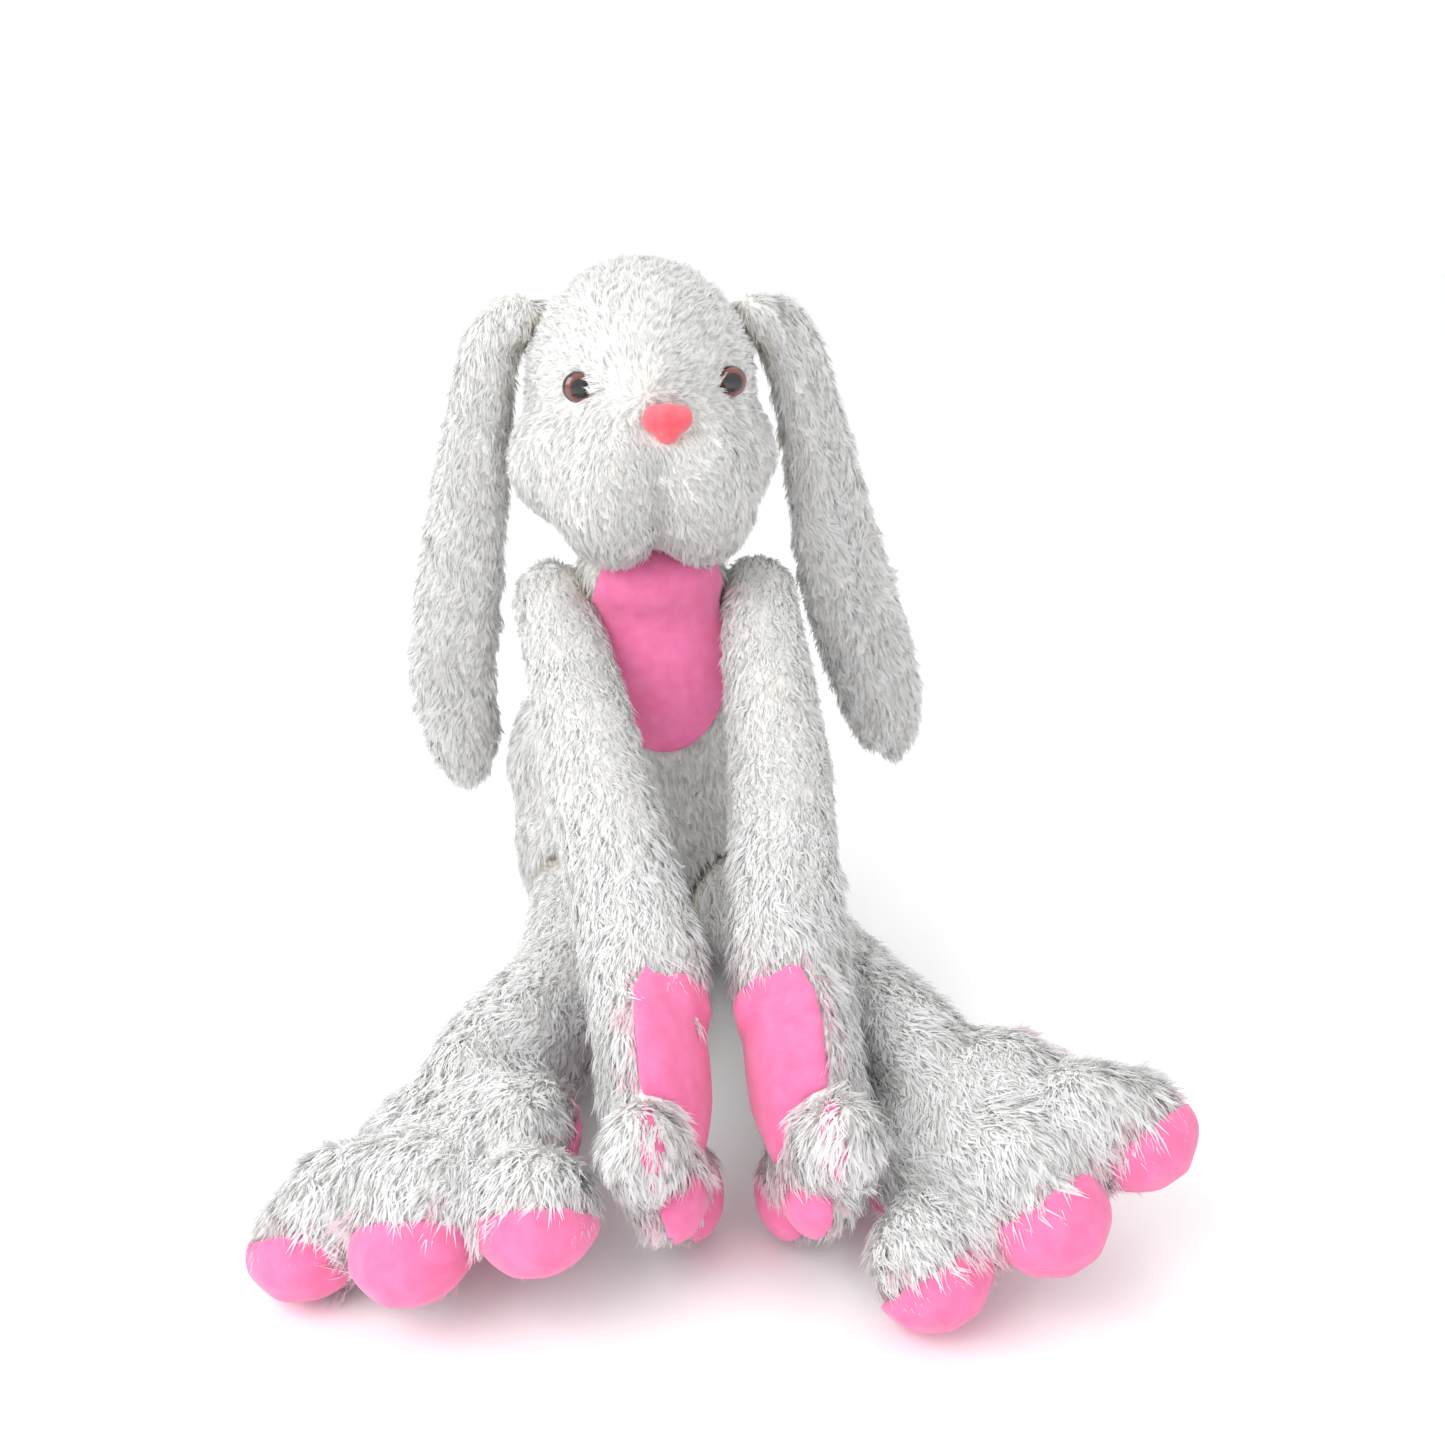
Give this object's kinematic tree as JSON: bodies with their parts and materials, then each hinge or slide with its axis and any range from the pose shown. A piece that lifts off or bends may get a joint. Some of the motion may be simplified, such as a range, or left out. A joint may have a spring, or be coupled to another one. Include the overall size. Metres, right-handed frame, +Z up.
{
  "type": "stuffed bunny rabbit",
  "caption": "Long-legged lop-eared plush rabbit in off-white pile with pink minky belly, palms and soles, sitting with its arms between its legs.",
  "frame": {"origin": "middle of the flat seat under the torso, on the surface the toy sits on", "axes": "+Z up through the torso and head, -Y is where the rabbit faces, +X is the rabbit's own left"},
  "size_m": [0.4386, 0.5338, 0.446],
  "materials": {
    "plush": "long tousled off-white pile",
    "minky": "short smooth pink minky pile",
    "velour": "short coral red velour",
    "eye": "glossy moulded eye, black pupil in a dark red-brown iris",
    "washer": "matte moulded locking washer",
    "filling": "loose polyester fibrefill"
  },
  "bodies": {
    "torso": {"torso_cover": "plush", "torso_stuffing": "filling", "belly_panel": "minky"},
    "neck": {"neck_plug": "plush"},
    "head": {"head_cover": "plush", "head_stuffing": "filling", "nose": "velour", "eye_R": "eye", "eye_L": "eye", "eye_washer_R": "washer", "eye_washer_L": "washer"},
    "ear_upper_R": {"ear_upper_R": "plush"},
    "ear_lower_R": {"ear_lower_R": "plush"},
    "upper_arm_R": {"upper_arm_R": "plush"},
    "forearm_R": {"forearm_R": "plush"},
    "hand_R": {"hand_R_back": "plush", "hand_R_pad": "minky", "hand_R_toe_1": "minky", "hand_R_toe_2": "minky", "hand_R_toe_3": "minky"},
    "leg_root_R": {"leg_root_R": "plush"},
    "thigh_R": {"thigh_R": "plush"},
    "shin_R": {"shin_R": "plush"},
    "foot_R": {"foot_R_back": "plush", "foot_R_pad": "minky", "foot_R_toe_1": "minky", "foot_R_toe_2": "minky", "foot_R_toe_3": "minky"},
    "ear_upper_L": {"ear_upper_L": "plush"},
    "ear_lower_L": {"ear_lower_L": "plush"},
    "upper_arm_L": {"upper_arm_L": "plush"},
    "forearm_L": {"forearm_L": "plush"},
    "hand_L": {"hand_L_back": "plush", "hand_L_pad": "minky", "hand_L_toe_1": "minky", "hand_L_toe_2": "minky", "hand_L_toe_3": "minky"},
    "leg_root_L": {"leg_root_L": "plush"},
    "thigh_L": {"thigh_L": "plush"},
    "shin_L": {"shin_L": "plush"},
    "foot_L": {"foot_L_back": "plush", "foot_L_pad": "minky", "foot_L_toe_1": "minky", "foot_L_toe_2": "minky", "foot_L_toe_3": "minky"}
  },
  "joints": [
    {"name": "neck_turn", "type": "hinge", "parent": "torso", "child": "neck", "pos_m": [-0.0035, -0.004, 0.276], "axis": [0, 0, 1], "range_deg": [-12, 12]},
    {"name": "head_nod", "type": "hinge", "parent": "neck", "child": "head", "pos_m": [-0.0035, -0.004, 0.276], "axis": [1, 0, 0], "range_deg": [-12, 12]},
    {"name": "ear_lift_R", "type": "hinge", "parent": "head", "child": "ear_upper_R", "pos_m": [-0.09556, 0.008, 0.408], "axis": [0, 1, 0], "range_deg": [0, 60]},
    {"name": "ear_fold_R", "type": "hinge", "parent": "ear_upper_R", "child": "ear_lower_R", "pos_m": [-0.1231, 0.01, 0.262], "axis": [-1, 0, 0], "range_deg": [-30, 30]},
    {"name": "arm_raise_R", "type": "hinge", "parent": "torso", "child": "upper_arm_R", "pos_m": [-0.066, -0.008, 0.23397], "axis": [-1, 0, 0], "range_deg": [0, 30]},
    {"name": "elbow_bend_R", "type": "hinge", "parent": "upper_arm_R", "child": "forearm_R", "pos_m": [-0.047, -0.15, 0.172], "axis": [-1, 0, 0], "range_deg": [0, 35]},
    {"name": "leg_raise_R", "type": "hinge", "parent": "torso", "child": "leg_root_R", "pos_m": [-0.049, -0.066, 0.043], "axis": [-1, 0, 0], "range_deg": [-40, 0]},
    {"name": "leg_splay_R", "type": "hinge", "parent": "leg_root_R", "child": "thigh_R", "pos_m": [-0.049, -0.066, 0.043], "axis": [0, 0, -1], "range_deg": [0, 20]},
    {"name": "knee_bend_R", "type": "hinge", "parent": "thigh_R", "child": "shin_R", "pos_m": [-0.06, -0.166, 0.043], "axis": [-1, 0, 0], "range_deg": [-40, 0]},
    {"name": "wrist_swing_R", "type": "hinge", "parent": "forearm_R", "child": "hand_R", "pos_m": [-0.029, -0.285, 0.12], "axis": [-0.9503, 0.1868, -0.2491], "range_deg": [-5, 30]},
    {"name": "ankle_bend_R", "type": "hinge", "parent": "shin_R", "child": "foot_R", "pos_m": [-0.108, -0.262, 0.044], "axis": [-0.9331, 0.2674, -0.2405], "range_deg": [-25, 4]},
    {"name": "ear_lift_L", "type": "hinge", "parent": "head", "child": "ear_upper_L", "pos_m": [0.08156, 0.008, 0.408], "axis": [0, -1, 0], "range_deg": [0, 60]},
    {"name": "ear_fold_L", "type": "hinge", "parent": "ear_upper_L", "child": "ear_lower_L", "pos_m": [0.1271, 0.01, 0.258], "axis": [-1, 0, 0], "range_deg": [-30, 30]},
    {"name": "arm_raise_L", "type": "hinge", "parent": "torso", "child": "upper_arm_L", "pos_m": [0.066, -0.008, 0.23397], "axis": [-1, 0, 0], "range_deg": [0, 30]},
    {"name": "elbow_bend_L", "type": "hinge", "parent": "upper_arm_L", "child": "forearm_L", "pos_m": [0.059, -0.15, 0.172], "axis": [-1, 0, 0], "range_deg": [0, 35]},
    {"name": "leg_raise_L", "type": "hinge", "parent": "torso", "child": "leg_root_L", "pos_m": [0.049, -0.066, 0.043], "axis": [-1, 0, 0], "range_deg": [-40, 0]},
    {"name": "leg_splay_L", "type": "hinge", "parent": "leg_root_L", "child": "thigh_L", "pos_m": [0.049, -0.066, 0.043], "axis": [0, 0, 1], "range_deg": [0, 20]},
    {"name": "knee_bend_L", "type": "hinge", "parent": "thigh_L", "child": "shin_L", "pos_m": [0.078, -0.166, 0.043], "axis": [-1, 0, 0], "range_deg": [-40, 0]},
    {"name": "wrist_swing_L", "type": "hinge", "parent": "forearm_L", "child": "hand_L", "pos_m": [0.041, -0.29, 0.12], "axis": [-0.9819, -0.1288, 0.139], "range_deg": [-5, 30]},
    {"name": "ankle_bend_L", "type": "hinge", "parent": "shin_L", "child": "foot_L", "pos_m": [0.108, -0.288, 0.056], "axis": [-0.8848, -0.2159, -0.4129], "range_deg": [-25, 4]}
  ]
}
